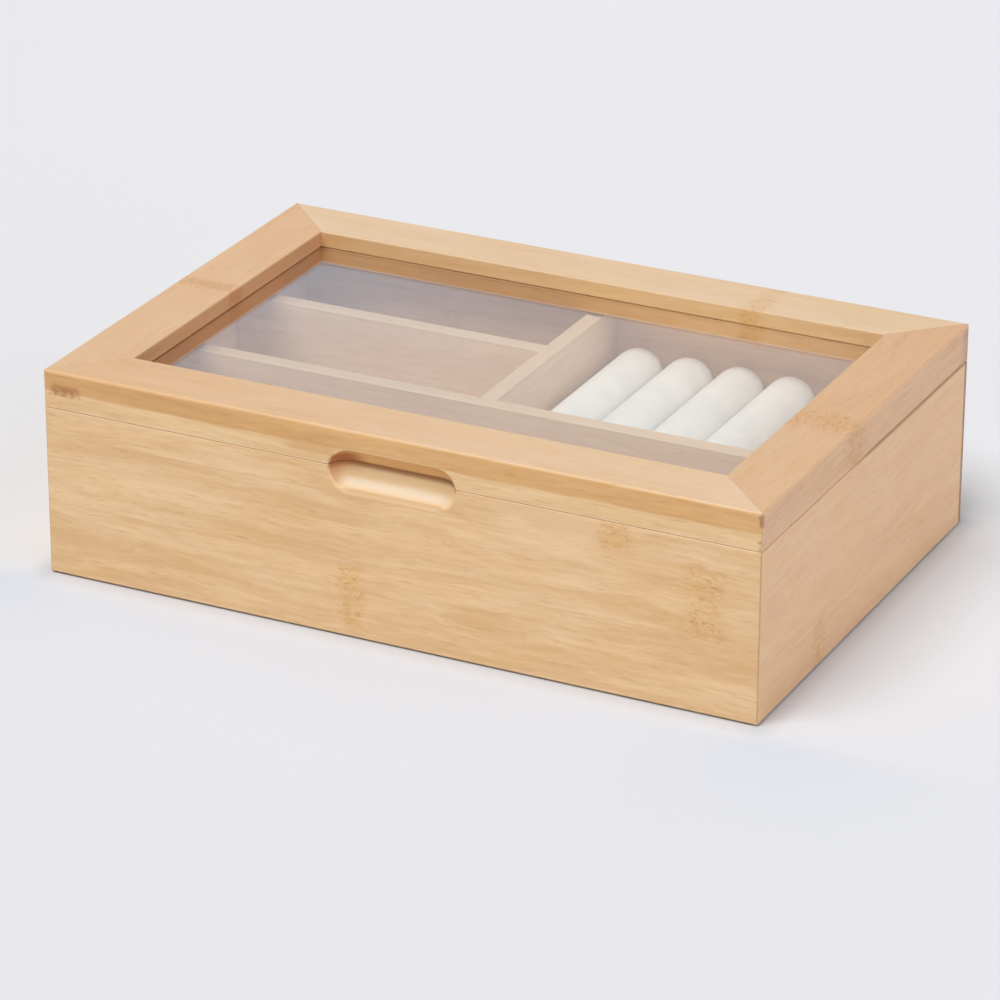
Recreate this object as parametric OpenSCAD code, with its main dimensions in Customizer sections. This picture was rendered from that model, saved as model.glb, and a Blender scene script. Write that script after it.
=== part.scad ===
// Bamboo keepsake box with a framed glass lid, hinged along the back.
// Millimetres, +Z up. The origin is the middle of the underside, on the surface that the box stands on.
// +X is to the right and +Y to the back, seen from the front with the finger scoop.

/* [Box] */
// Width of the box, left to right
box_w = 254; // [230:1:290]
// Depth of the box, front to back
box_d = 172; // [155:1:200]
// Height of the body's walls
body_h = 58.6; // [52:0.2:75]
// Thickness of the body's walls
wall_t = 8; // [7.5:0.25:10]
// Radius of the upright outer corners
corner_r = 1.2; // [0.8:0.1:3]
// Radius of the eased outer edges
outer_ease_r = 0.5; // [0.3:0.1:1.4]
// Radius of the lightly sanded edges along the seam and inside
inner_ease_r = 0.3; // [0.2:0.1:0.7]

/* [Feet] */
// Height of a felt foot
foot_h = 0.6; // [0.5:0.1:3]
// Diameter of a felt foot
foot_d = 7; // [4:0.5:7.5]

/* [Floor] */
// Thickness of the bottom panel
floor_t = 4; // [3:0.5:6]
// Height of the bottom panel above the walls' lower edges
floor_rise = 3; // [2:0.5:6]
// Depth of the groove that holds the bottom panel
floor_groove = 3; // [2:0.5:4]
// Thickness of a velvet-faced floor board
lining_t = 1.8; // [1:0.1:3]

/* [Dividers] */
// Thickness of the dividers
divider_t = 6; // [4:0.5:8]
// How far the dividers stay below the rim
divider_drop = 1.1; // [0.5:0.1:8]
// Depth of the grooves that hold the dividers' ends
dado_depth = 2; // [1:0.25:2.25]
// Depth of the full-width front bay
front_bay = 56.4; // [45:0.2:65]
// Middle of the cross divider, from the middle of the box
cross_x = -0.8; // [-10:0.2:10]

/* [Ring cushion] */
// How far the rolls' tops stay below the dividers' tops
roll_drop = 11.1; // [6:0.5:16]
// Gap between a roll and the next
roll_gap = 0.3; // [0.2:0.1:1]
// Room between the outer rolls and the bay's sides
roll_side_gap = 2.3; // [0.5:0.1:4]
// Room between the rolls' ends and the bay's ends
roll_end_gap = 0.9; // [0.5:0.1:3]
// Radius of a roll's soft end
roll_end_r = 6.5; // [3:0.5:7]
// Gap under a roll, where its cover touches the base block's pile
roll_rest = 0.3; // [0.1:0.05:0.5]
// Room round the covered base block
base_gap = 0.6; // [0.3:0.1:2]
// Radius of the base block's soft edges
base_ease_r = 2; // [0.5:0.5:3]

/* [Lid] */
// Height of the lid's rails
lid_h = 13; // [12:0.2:18]
// Width of the lid's rails
rail_w = 21.6; // [17:0.2:26]
// Radius of the lid's outer top edge
lid_ease_r = 1.1; // [0.5:0.1:2]
// Height of the seam between body and lid
seam_gap = 0.2; // [0.2:0.1:0.7]
// Thickness of the glass pane
pane_t = 2; // [1.5:0.25:3]
// Depth of the pane below the lid's top
pane_drop = 5.6; // [4:0.2:6.5]
// How far the pane reaches into the rails
pane_bite = 4.5; // [3:0.5:7]
// Gap above the pane in its groove
pane_gap = 0.2; // [0.2:0.1:0.6]

/* [Finger scoop] */
// Width of the scoop
scoop_w = 44.6; // [30:0.2:70]
// Height of the scoop
scoop_h = 14.4; // [12:0.2:16]
// Depth of the scoop
scoop_deep = 6; // [4.5:0.1:6.4]
// Width of the chamfer round the scoop's mouth
scoop_lip = 0.7; // [0.4:0.1:1]
// How far the scoop's middle lies below the seam
scoop_drop = 1.1; // [0:0.1:2]

/* [Hinges] */
// Distance of each hinge's middle from the box's end
hinge_inset = 47; // [32:1:77]
// Length of a hinge
hinge_w = 25; // [18:1:32]
// Reach of a leaf in front of the pin
leaf_d = 5.8; // [5:0.1:6]
// Thickness of a leaf
leaf_t = 0.7; // [0.5:0.1:0.8]
// Radius of a leaf's corners
leaf_corner_r = 1; // [0.5:0.1:1.5]
// Radius of the barrel
barrel_r = 1.2; // [1.1:0.1:1.5]
// Radius of the pin
pin_r = 0.6; // [0.45:0.05:0.7]
// Side clearance between knuckles
knuckle_gap = 0.2; // [0.1:0.05:0.4]
// How far the lid opens, in degrees
lid_swing = 100; // [85:1:105]

/* [Screws] */
// Radius of a screw's shank
screw_r = 0.75; // [0.5:0.05:0.9]
// Radius of a screw's head
screw_head_r = 1.5; // [1.2:0.1:1.7]
// Length of a screw's shank below its head
screw_len = 6.2; // [4:0.1:7]
// Distance between a leaf's two screws
screw_pitch = 16; // [12:0.5:17]
// Width of the slot in a screw's head
screw_slot = 0.35; // [0.2:0.05:0.5]

/* [Fits] */
// Clearance of glued wooden joints, tongues and mortises
wood_fit = 0.1; // [0.05:0.05:0.2]
// Clearance round the linings
lining_fit = 0.5; // [0.3:0.1:1]
// Radial clearance of the hinge pin
pin_fit = 0.05; // [0.02:0.01:0.08]

/* [Hidden] */
$fn = 64;

// Colours
bamboo = [0.86, 0.70, 0.50];
bamboo_light = [0.89, 0.76, 0.60];
bamboo_inside = [0.80, 0.67, 0.52];
velvet = [0.91, 0.90, 0.87];
felt = [0.33, 0.30, 0.27];
glass = [0.80, 0.88, 0.92, 0.35];
steel = [0.72, 0.70, 0.66];

// How far a cutter runs past the face that it opens
overrun = 1;
// Number of ring rolls and of knuckles on a hinge
roll_count = 6;
knuckle_count = 5;
// Angles that turn the front side into each of the four sides
front_side = 0;
back_side = 180;
left_side = -90;
right_side = 90;

// Heights, from the surface that the box stands on
wall_base = foot_h;
rim_z = wall_base + body_h;
lid_base = rim_z + seam_gap;
lid_top = lid_base + lid_h;
floor_base = wall_base + floor_rise;
floor_top = floor_base + floor_t;
divider_top = rim_z - divider_drop;
pane_top = lid_top - pane_drop;
pane_base = pane_top - pane_t;

// Inside of the body
inner_w = box_w - 2 * wall_t;
inner_d = box_d - 2 * wall_t;
front_inner_y = -inner_d / 2;
back_inner_y = inner_d / 2;
left_inner_x = -inner_w / 2;
right_inner_x = inner_w / 2;

// Dividers: the middle and the rear left bay are equally deep
rear_bay = (inner_d - front_bay - 2 * divider_t) / 2;
front_divider_y = front_inner_y + front_bay + divider_t / 2;
front_divider_back_y = front_divider_y + divider_t / 2;
rear_divider_y = back_inner_y - rear_bay - divider_t / 2;
cross_left_x = cross_x - divider_t / 2;
cross_right_x = cross_x + divider_t / 2;
tongue = dado_depth - wood_fit;

// Ring cushion: the rolls share the bay's width
ring_bay_w = right_inner_x - cross_right_x;
ring_bay_d = back_inner_y - front_divider_back_y;
roll_pitch = (ring_bay_w - 2 * roll_side_gap + roll_gap) / roll_count;
roll_r = (roll_pitch - roll_gap) / 2;
roll_l = ring_bay_d - 2 * roll_end_gap;
roll_y = (front_divider_back_y + back_inner_y) / 2;
roll_z = divider_top - roll_drop - roll_r;
roll_first_x = cross_right_x + roll_side_gap + roll_r;
base_top = roll_z - roll_r - roll_rest;

// Hinges: the pin lies in the middle of the seam, just inside the back face
barrel_inset = barrel_r + pin_fit;
pin_y = box_d / 2 - barrel_inset;
pin_z = (rim_z + lid_base) / 2;
hinge_x = box_w / 2 - hinge_inset;
knuckle_pitch = hinge_w / knuckle_count;
// Each back bevel takes half of the swing and one degree more
bevel_angle = lid_swing / 2 + 1;

// Screws stand in the middle of the leaf's wood side
screw_y = pin_y - (leaf_d + barrel_r) / 2;
screw_tip = 2 * screw_r;

// The scoop is the path of a ball-nosed cutter
scoop_ball_r = (pow(scoop_h / 2, 2) + pow(scoop_deep, 2)) / (2 * scoop_deep);
scoop_run = scoop_w - scoop_h;
scoop_z = pin_z - scoop_drop;
scoop_mouth_r = scoop_h / 2 + scoop_lip;

// A box given by its lowest and highest corners
module block(low, high) {
    translate(low) cube(high - low);
}

// What rounding takes off a convex corner at the origin, for a shape in +x and +y
module corner_nib(r) {
    difference() {
        translate([-overrun, -overrun]) square(r + overrun);
        translate([r, r]) circle(r);
    }
}

// A rectangle from the origin with its own radius at each corner:
// low start, low end, high end, high start
module eased_rect(size, radii) {
    difference() {
        square(size);
        corner_nib(radii[0]);
        translate([size[0], 0]) mirror([1, 0]) corner_nib(radii[1]);
        translate(size) mirror([1, 0]) mirror([0, 1]) corner_nib(radii[2]);
        translate([0, size[1]]) mirror([0, 1]) corner_nib(radii[3]);
    }
}

// The same rectangle with one radius, round the origin
module centred_eased_rect(size, r) {
    translate(-size / 2) eased_rect(size, [r, r, r, r]);
}

// Places what is drawn for the front side, outer face on y = 0, onto one of the four sides
module on_side(angle, reach) {
    rotate([0, 0, angle]) translate([0, -reach, 0]) children();
}

// A bar along one side with mitred ends. The child is its section: x inwards from the outer face, y up
module mitred_bar(run, deep, high) {
    intersection() {
        rotate([90, 0, 90]) linear_extrude(run, center = true) children();
        linear_extrude(high)
            polygon([[-run / 2, 0], [run / 2, 0], [run / 2 - deep, deep], [deep - run / 2, deep]]);
    }
}

// The box's outline seen from above
module outline(base, high) {
    translate([0, 0, base]) linear_extrude(high) centred_eased_rect([box_w, box_d], corner_r);
}

// The V along the back of the seam that lets the lid swing past upright
module back_bevel() {
    run = barrel_inset + overrun;
    rise = run * tan(bevel_angle);
    translate([0, pin_y, pin_z]) rotate([90, 0, 90])
        linear_extrude(box_w + 2 * overrun, center = true)
            polygon([[0, 0], [run, -rise], [run, rise]]);
}

// The finger scoop, half in the body and half in the lid
module scoop_cut() {
    translate([0, -box_d / 2 - scoop_ball_r + scoop_deep, scoop_z]) {
        rotate([0, 90, 0]) cylinder(r = scoop_ball_r, h = scoop_run, center = true);
        for (end = [-scoop_run / 2, scoop_run / 2]) translate([end, 0, 0]) sphere(scoop_ball_r);
    }
    translate([0, -box_d / 2, scoop_z]) scoop_chamfer();
}

// The chamfer at 45 degrees round the scoop's mouth, which lies in the plane y = 0
module scoop_chamfer() {
    inward = 2 * scoop_lip;
    outer_r = scoop_mouth_r + overrun;
    inner_r = scoop_mouth_r - inward;
    rotate([90, 0, 90]) linear_extrude(scoop_run, center = true)
        polygon([[-overrun, -outer_r], [inward, -inner_r], [inward, inner_r], [-overrun, outer_r]]);
    for (end = [-scoop_run / 2, scoop_run / 2]) translate([end, -overrun, 0])
        rotate([-90, 0, 0]) cylinder(r1 = outer_r, r2 = inner_r, h = overrun + inward);
}

// Body walls

// Section of a wall, with the groove for the bottom panel
module wall_section() {
    difference() {
        eased_rect([wall_t, body_h], [outer_ease_r, inner_ease_r, inner_ease_r, inner_ease_r]);
        translate([wall_t - floor_groove, floor_rise]) square([floor_groove + overrun, floor_t + wood_fit]);
    }
}

module wall(angle, run, reach) {
    intersection() {
        on_side(angle, reach) translate([0, 0, wall_base]) mitred_bar(run, wall_t, body_h) wall_section();
        outline(wall_base, body_h);
    }
}

// A groove in a wall for the end of a divider, from the floor to the divider's top
module dado_cut(low, high) {
    block([low[0], low[1], floor_base], [high[0], high[1], divider_top + wood_fit / 2]);
}

// The groove's half width along the wall
dado_half = (divider_t + wood_fit) / 2;

module front_wall() {
    color(bamboo) difference() {
        wall(front_side, box_w, box_d / 2);
        scoop_cut();
    }
}

module back_wall() {
    color(bamboo) difference() {
        wall(back_side, box_w, box_d / 2);
        dado_cut([cross_x - dado_half, back_inner_y - overrun],
            [cross_x + dado_half, back_inner_y + dado_depth]);
        back_bevel();
        hinge_mortises();
        hinge_screw_holes(-1);
    }
}

module left_wall() {
    color(bamboo) difference() {
        wall(left_side, box_d, box_w / 2);
        for (y = [front_divider_y, rear_divider_y])
            dado_cut([left_inner_x - dado_depth, y - dado_half], [left_inner_x + overrun, y + dado_half]);
        back_bevel();
    }
}

module right_wall() {
    color(bamboo) difference() {
        wall(right_side, box_d, box_w / 2);
        dado_cut([right_inner_x - overrun, front_divider_y - dado_half],
            [right_inner_x + dado_depth, front_divider_y + dado_half]);
        back_bevel();
    }
}

// Floor and feet

module bottom_panel() {
    reach = floor_groove - wood_fit;
    color(bamboo_inside) block([left_inner_x - reach, front_inner_y - reach, floor_base],
        [right_inner_x + reach, back_inner_y + reach, floor_top]);
}

// A foot fits under the corner where two walls meet
module corner_feet() {
    inset = wall_t / 2 + corner_r / 4;
    color(felt) for (x = [inset - box_w / 2, box_w / 2 - inset], y = [inset - box_d / 2, box_d / 2 - inset])
        translate([x, y, 0]) cylinder(d = foot_d, h = foot_h);
}

// Dividers

// A divider board along +X from x = 0, round the line y = 0, with its top edges eased
module divider_board(run) {
    high = divider_top - floor_top;
    translate([0, divider_t / 2, floor_top]) rotate([90, 0, 90]) mirror([1, 0, 0]) linear_extrude(run)
        difference() {
            square([divider_t, high]);
            translate([divider_t, high]) mirror([1, 0]) mirror([0, 1]) corner_nib(inner_ease_r);
            translate([0, high]) mirror([0, 1]) corner_nib(inner_ease_r);
        }
}

module front_divider() {
    color(bamboo_light) difference() {
        translate([left_inner_x - tongue, front_divider_y, 0]) divider_board(inner_w + 2 * tongue);
        block([cross_x - dado_half, front_divider_back_y - dado_depth, floor_base],
            [cross_x + dado_half, front_divider_back_y + overrun, rim_z]);
    }
}

module cross_divider() {
    start = front_divider_back_y - tongue;
    color(bamboo_light) difference() {
        translate([cross_x, start, 0]) rotate([0, 0, 90]) divider_board(back_inner_y + tongue - start);
        block([cross_left_x - overrun, rear_divider_y - dado_half, floor_base],
            [cross_left_x + dado_depth, rear_divider_y + dado_half, rim_z]);
    }
}

module rear_divider() {
    color(bamboo_light) translate([left_inner_x - tongue, rear_divider_y, 0])
        divider_board(cross_left_x - left_inner_x + 2 * tongue);
}

// Linings

// A thin velvet-faced board with soft upper edges, on the floor of a bay
module lining(low, high) {
    size = high - low - 2 * [lining_fit, lining_fit];
    ease = lining_t / 2;
    color(velvet) translate([(low[0] + high[0]) / 2, (low[1] + high[1]) / 2, floor_top])
        soft_slab(size, lining_t, ease, ease);
}

// A slab from z = 0 with eased upper edges and upright corners
module soft_slab(size, high, edge, corner) {
    intersection() {
        linear_extrude(high) centred_eased_rect(size, corner);
        slab_rise(size[0], size[1], high, edge);
        rotate([0, 0, 90]) slab_rise(size[1], size[0], high, edge);
    }
}

// Along Y, the slab's section across X, with its two upper corners rounded
module slab_rise(wide, deep, high, edge) {
    rotate([90, 0, 0]) linear_extrude(deep, center = true) difference() {
        translate([-wide / 2, 0]) square([wide, high]);
        translate([wide / 2, high]) mirror([1, 0]) mirror([0, 1]) corner_nib(edge);
        translate([-wide / 2, high]) mirror([0, 1]) corner_nib(edge);
    }
}

module front_lining() {
    lining([left_inner_x, front_inner_y], [right_inner_x, front_inner_y + front_bay]);
}

module middle_lining() {
    lining([left_inner_x, front_divider_back_y], [cross_left_x, rear_divider_y - divider_t / 2]);
}

module rear_lining() {
    lining([left_inner_x, rear_divider_y + divider_t / 2], [cross_left_x, back_inner_y]);
}

// Ring cushion

module ring_cushion_base() {
    size = [ring_bay_w - 2 * base_gap, ring_bay_d - 2 * base_gap];
    color(velvet) translate([(cross_right_x + right_inner_x) / 2, roll_y, floor_top])
        soft_slab(size, base_top - floor_top, base_ease_r, base_ease_r);
}

// A roll is a foam rod with soft ends
module ring_roll(place) {
    color(velvet) translate([roll_first_x + (place - 1) * roll_pitch, roll_y, roll_z])
        rotate([90, 0, 0]) rotate_extrude() intersection() {
            centred_eased_rect([2 * roll_r, roll_l], roll_end_r);
            translate([0, -roll_l / 2]) square([roll_r, roll_l]);
        }
}

// Hinges

// Pockets in body and lid for both hinges' leaves and barrels
module hinge_mortises() {
    back = box_d / 2 + overrun;
    half = hinge_w / 2 + wood_fit;
    barrel = barrel_r + wood_fit;
    for (x = [-hinge_x, hinge_x]) translate([x, 0, 0]) {
        block([-half, pin_y - leaf_d - wood_fit, rim_z - leaf_t], [half, back, lid_base + leaf_t]);
        block([-half, pin_y - barrel, pin_z - barrel], [half, back, pin_z + barrel]);
    }
}

// Places its child at each screw of one leaf, with z = 0 on the leaf's seam side and +Z out of the wood.
// The side is -1 for the body's leaf and 1 for the lid's
module at_screws(x, side) {
    for (step = [-screw_pitch / 2, screw_pitch / 2])
        translate([x + step, screw_y, side < 0 ? rim_z : lid_base])
            rotate([side < 0 ? 0 : 180, 0, 0]) children();
}

// Pilot holes in the wood for the screws of both hinges
module hinge_screw_holes(side) {
    for (x = [-hinge_x, hinge_x]) at_screws(x, side)
        translate([0, 0, -leaf_t - screw_len - wood_fit])
            cylinder(r = screw_r + wood_fit / 2, h = leaf_t + screw_len + wood_fit);
}

// Whether a knuckle, counted from 0, belongs to the leaf on this side: the body has the outer ones
function owns_knuckle(k, side) = side < 0 ? k % 2 == 0 : k % 2 == 1;

module knuckle_row(side, r, spare) {
    for (k = [0 : knuckle_count - 1]) if (owns_knuckle(k, side))
        translate([(k + 0.5) * knuckle_pitch - hinge_w / 2, 0, 0])
            rotate([0, 90, 0]) cylinder(r = r, h = knuckle_pitch + spare, center = true);
}

// Room in front of the pin for the other leaf's knuckles
module knuckle_slots(side) {
    reach = barrel_r + 2 * pin_fit;
    half = (knuckle_pitch + knuckle_gap) / 2;
    for (k = [0 : knuckle_count - 1]) if (!owns_knuckle(k, side))
        translate([(k + 0.5) * knuckle_pitch - hinge_w / 2, 0, 0])
            block([-half, -reach, -barrel_r - overrun], [half, reach, barrel_r + overrun]);
}

module hinge_leaf(x, side) {
    plate_z = side < 0 ? rim_z - leaf_t : lid_base;
    color(steel) difference() {
        translate([x, pin_y, 0]) {
            translate([0, 0, pin_z]) knuckle_row(side, barrel_r, -knuckle_gap);
            difference() {
                translate([0, 0, plate_z]) linear_extrude(leaf_t) leaf_outline();
                translate([0, 0, pin_z]) knuckle_slots(side);
            }
        }
        translate([x, pin_y, pin_z]) rotate([0, 90, 0])
            cylinder(r = pin_r + pin_fit, h = hinge_w + 2 * overrun, center = true);
        at_screws(x, side) screw_seat();
    }
}

// The leaf's plate seen from above, with its pin line on y = 0
module leaf_outline() {
    translate([-hinge_w / 2, -leaf_d])
        difference() {
            square([hinge_w, leaf_d]);
            corner_nib(leaf_corner_r);
            translate([hinge_w, 0]) mirror([1, 0]) corner_nib(leaf_corner_r);
        }
}

// Countersunk hole through a leaf
module screw_seat() {
    translate([0, 0, -leaf_t])
        cylinder(r1 = screw_r + pin_fit, r2 = screw_head_r + pin_fit, h = leaf_t);
    translate([0, 0, -leaf_t - overrun]) cylinder(r = screw_r + pin_fit, h = 2 * overrun);
}

// A countersunk wood screw with a cross slot, head flush with z = 0
module wood_screw() {
    slot_deep = leaf_t / 2;
    difference() {
        union() {
            translate([0, 0, -leaf_t]) cylinder(r1 = screw_r, r2 = screw_head_r, h = leaf_t);
            translate([0, 0, screw_tip - screw_len - leaf_t])
                cylinder(r = screw_r, h = screw_len - screw_tip);
            translate([0, 0, -screw_len - leaf_t]) cylinder(r1 = 0, r2 = screw_r, h = screw_tip);
        }
        for (turn = [0, 90]) rotate([0, 0, turn])
            block([-screw_head_r / 2, -screw_slot / 2, -slot_deep],
                [screw_head_r / 2, screw_slot / 2, overrun]);
    }
}

module hinge_screws(side) {
    color(steel) for (x = [-hinge_x, hinge_x]) at_screws(x, side) wood_screw();
}

module hinge_pin(x) {
    color(steel) translate([x, pin_y, pin_z]) rotate([0, 90, 0])
        cylinder(r = pin_r, h = hinge_w, center = true);
}

// Lid

// Section of a rail, with the groove for the pane
module rail_section() {
    groove = pane_bite + wood_fit;
    difference() {
        eased_rect([rail_w, lid_h], [inner_ease_r, inner_ease_r, inner_ease_r, lid_ease_r]);
        translate([rail_w - groove, pane_base - lid_base]) square([groove + overrun, pane_t + pane_gap]);
    }
}

module rail(angle, run, reach) {
    intersection() {
        on_side(angle, reach) translate([0, 0, lid_base]) mitred_bar(run, rail_w, lid_h) rail_section();
        outline(lid_base, lid_h);
    }
}

module lid_front_rail() {
    color(bamboo) difference() {
        rail(front_side, box_w, box_d / 2);
        scoop_cut();
    }
}

module lid_back_rail() {
    color(bamboo) difference() {
        rail(back_side, box_w, box_d / 2);
        back_bevel();
        hinge_mortises();
        hinge_screw_holes(1);
    }
}

module lid_left_rail() {
    color(bamboo) difference() {
        rail(left_side, box_d, box_w / 2);
        back_bevel();
    }
}

module lid_right_rail() {
    color(bamboo) difference() {
        rail(right_side, box_d, box_w / 2);
        back_bevel();
    }
}

module lid_pane() {
    half_w = box_w / 2 - rail_w + pane_bite;
    half_d = box_d / 2 - rail_w + pane_bite;
    color(glass) block([-half_w, -half_d, pane_base], [half_w, half_d, pane_top]);
}

front_wall();
back_wall();
left_wall();
right_wall();
bottom_panel();
front_divider();
rear_divider();
cross_divider();
front_lining();
middle_lining();
rear_lining();
ring_cushion_base();
ring_roll(1);  // ring_roll_1
ring_roll(2);  // ring_roll_2
ring_roll(3);  // ring_roll_3
ring_roll(4);  // ring_roll_4
ring_roll(5);  // ring_roll_5
ring_roll(6);  // ring_roll_6
corner_feet();
hinge_leaf(-hinge_x, -1);  // hinge_body_leaf_left
hinge_leaf(hinge_x, -1);  // hinge_body_leaf_right
hinge_pin(-hinge_x);  // hinge_pin_left
hinge_pin(hinge_x);  // hinge_pin_right
hinge_screws(-1);  // hinge_body_screws
lid_front_rail();
lid_back_rail();
lid_left_rail();
lid_right_rail();
lid_pane();
hinge_leaf(-hinge_x, 1);  // hinge_lid_leaf_left
hinge_leaf(hinge_x, 1);  // hinge_lid_leaf_right
hinge_screws(1);  // hinge_lid_screws
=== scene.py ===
"""Dresses the bamboo keepsake box: lacquered bamboo, clear glass, velvet rolls and linings, steel hinges.

Metres, in the row frame: +X to the right, +Y to the back, +Z up. Lengths named *_mm are millimetres.
"""

import math

import bmesh
import bpy
import numpy as np
from mathutils import Matrix, Vector


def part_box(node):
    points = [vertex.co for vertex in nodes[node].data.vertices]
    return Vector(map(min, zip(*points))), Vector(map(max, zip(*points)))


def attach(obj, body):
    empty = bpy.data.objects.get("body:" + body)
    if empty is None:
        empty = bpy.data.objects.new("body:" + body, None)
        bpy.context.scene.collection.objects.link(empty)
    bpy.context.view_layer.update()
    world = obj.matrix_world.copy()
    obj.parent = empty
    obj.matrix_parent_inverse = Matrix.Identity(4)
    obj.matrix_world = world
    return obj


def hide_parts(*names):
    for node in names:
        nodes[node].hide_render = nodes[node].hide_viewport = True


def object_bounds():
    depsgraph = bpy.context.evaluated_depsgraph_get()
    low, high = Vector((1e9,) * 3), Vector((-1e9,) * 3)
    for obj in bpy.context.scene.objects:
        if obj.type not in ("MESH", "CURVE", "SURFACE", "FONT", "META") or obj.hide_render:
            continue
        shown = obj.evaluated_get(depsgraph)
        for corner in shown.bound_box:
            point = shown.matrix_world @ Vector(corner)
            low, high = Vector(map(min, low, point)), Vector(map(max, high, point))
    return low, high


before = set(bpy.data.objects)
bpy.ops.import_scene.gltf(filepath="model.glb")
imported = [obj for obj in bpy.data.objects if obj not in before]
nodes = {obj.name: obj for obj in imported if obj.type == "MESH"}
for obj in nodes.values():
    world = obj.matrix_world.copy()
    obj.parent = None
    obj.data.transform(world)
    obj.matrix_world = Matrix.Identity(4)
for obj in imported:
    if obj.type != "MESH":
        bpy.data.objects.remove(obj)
cad_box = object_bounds()

MM = 0.001
HALF_W_MM, HALF_D_MM, TOP_MM = (1000 * abs(v) for v in (cad_box[1].x, cad_box[1].y, cad_box[1].z))


# Camera

CAMERA_PLACE = (0.6463, -1.3221, 0.6751)
CAMERA_AZIMUTH, CAMERA_ELEVATION, CAMERA_ROLL = 26.196, 24.091, 0.193
CAMERA_LENS, SENSOR = 174.62, 36


def photo_camera():
    """The camera at the photograph's place, looking the way that its azimuth and elevation say."""
    data = bpy.data.cameras.new("camera")
    data.sensor_width, data.lens = SENSOR, CAMERA_LENS
    data.clip_start, data.clip_end = 0.05, 60
    camera = bpy.data.objects.new("camera", data)
    bpy.context.scene.collection.objects.link(camera)
    azimuth, elevation, roll = (math.radians(v) for v in (CAMERA_AZIMUTH, CAMERA_ELEVATION, CAMERA_ROLL))
    level = math.cos(elevation)
    back = Vector((math.sin(azimuth) * level, -math.cos(azimuth) * level, math.sin(elevation)))
    right = (-back).cross(Vector((0, 0, 1))).normalized()
    up = right.cross(-back)
    right, up = (
        right * math.cos(roll) + up * math.sin(roll),
        up * math.cos(roll) - right * math.sin(roll),
    )
    turn = Matrix((right, up, back)).transposed().to_4x4()
    camera.matrix_world = Matrix.Translation(CAMERA_PLACE) @ turn
    bpy.context.scene.camera = camera


# Node trees


class Net:
    """Builds a node tree: new() adds a node, and the other calls give back an output socket."""

    def __init__(self, owner):
        owner.use_nodes = True
        self.tree = owner.node_tree
        self.tree.nodes.clear()

    def plug(self, socket, value):
        if isinstance(value, bpy.types.NodeSocket):
            self.tree.links.new(value, socket)
        elif value is not None:
            socket.default_value = value

    def new(self, kind, values=None, **settings):
        node = self.tree.nodes.new("ShaderNode" + kind)
        for name, value in settings.items():
            setattr(node, name, value)
        for key, value in (values or {}).items():
            self.plug(node.inputs[key], value)
        return node

    def math(self, operation, *values):
        return self.new("Math", dict(enumerate(values)), operation=operation).outputs[0]

    def vector(self, operation, *values, out=0):
        return self.new("VectorMath", dict(enumerate(values)), operation=operation).outputs[out]

    def joined(self, x, y, z):
        return self.new("CombineXYZ", {0: x, 1: y, 2: z}).outputs[0]

    def split(self, vector):
        return self.new("SeparateXYZ", {0: vector}).outputs[:3]

    def noise(self, vector, scale=1.0, detail=2.0, roughness=0.5, distortion=0.0):
        values = {"Vector": vector, "Scale": scale, "Detail": detail}
        values.update({"Roughness": roughness, "Distortion": distortion})
        return self.new("TexNoise", values).outputs[0]

    def swing(self, value, size):
        """A noise from 0 to 1 as a shift of up to half of size either way."""
        return self.math("MULTIPLY", self.math("SUBTRACT", value, 0.5), size)

    def range(self, value, low, high, to_low=0.0, to_high=1.0, smooth=True):
        """value mapped from low..high to to_low..to_high, and held there outside."""
        node = self.new(
            "MapRange",
            {"Value": value, "From Min": low, "From Max": high, "To Min": to_low, "To Max": to_high},
            interpolation_type="SMOOTHSTEP" if smooth else "LINEAR",
        )
        return node.outputs[0]

    def mix(self, factor, a, b, blend="MIX"):
        node = self.new("Mix", data_type="RGBA", blend_type=blend, clamp_factor=True)
        for index, value in ((0, factor), (6, a), (7, b)):
            self.plug(node.inputs[index], value)
        return node.outputs[2]

    def tinted(self, factor, colour, by):
        """The colour multiplied by another one, as far as the factor says."""
        return self.mix(factor, colour, by, blend="MULTIPLY")

    def surface(self, shader):
        out = self.new("OutputMaterial")
        self.tree.links.new(shader, out.inputs["Surface"])


def linear(value):
    """One channel of a colour, 0 to 255 on a screen, as light from 0 to 1."""
    share = value / 255
    return share / 12.92 if share <= 0.04045 else ((share + 0.055) / 1.055) ** 2.4


def rgba(red, green, blue):
    """A colour given as it shows on a screen, 0 to 255, as the linear colour that a shader takes."""
    return (linear(red), linear(green), linear(blue), 1.0)


def place_mm(net):
    """Where the point is in the part's own frame, in millimetres, as three sockets."""
    coords = net.new("TexCoord").outputs["Object"]
    return net.split(net.vector("MULTIPLY", coords, (1000, 1000, 1000)))


# Bamboo

X, Y, Z = 0, 1, 2
DARK_FIBRE = rgba(176, 122, 72)
BURNT = rgba(128, 78, 44)
# What the wood's colour is multiplied by, in the tops' dark fibres and broad patches, in golden stretches
# and round the knuckles
TOP_FIBRE = (0.94, 0.91, 0.86, 1.0)
TOP_PATCH = (0.955, 0.925, 0.87, 1.0)
GOLDEN = (1.0, 0.955, 0.86, 1.0)
KNUCKLE_WARMTH = (0.97, 0.90, 0.76, 1.0)
# In millimetres: a strip's width, a knuckle's soft border, and the lid's joint and how far it wanders
STRIP_W, KNUCKLE_BORDER = 24.0, 1.0
RAIL_JOINT, RAIL_WAVE = 65.3, 2.4
# How strongly the corner joints show on the top and on the upright edges
RAIL_MITRE, WALL_MITRE = (0.1, 0.15), (0, 0.4)


def one_look(light, dark, **more):
    """The look of a board whose strips all have the same light and dark fibres."""
    return {"low": (light, dark), "high": (light, dark), **more}


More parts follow.
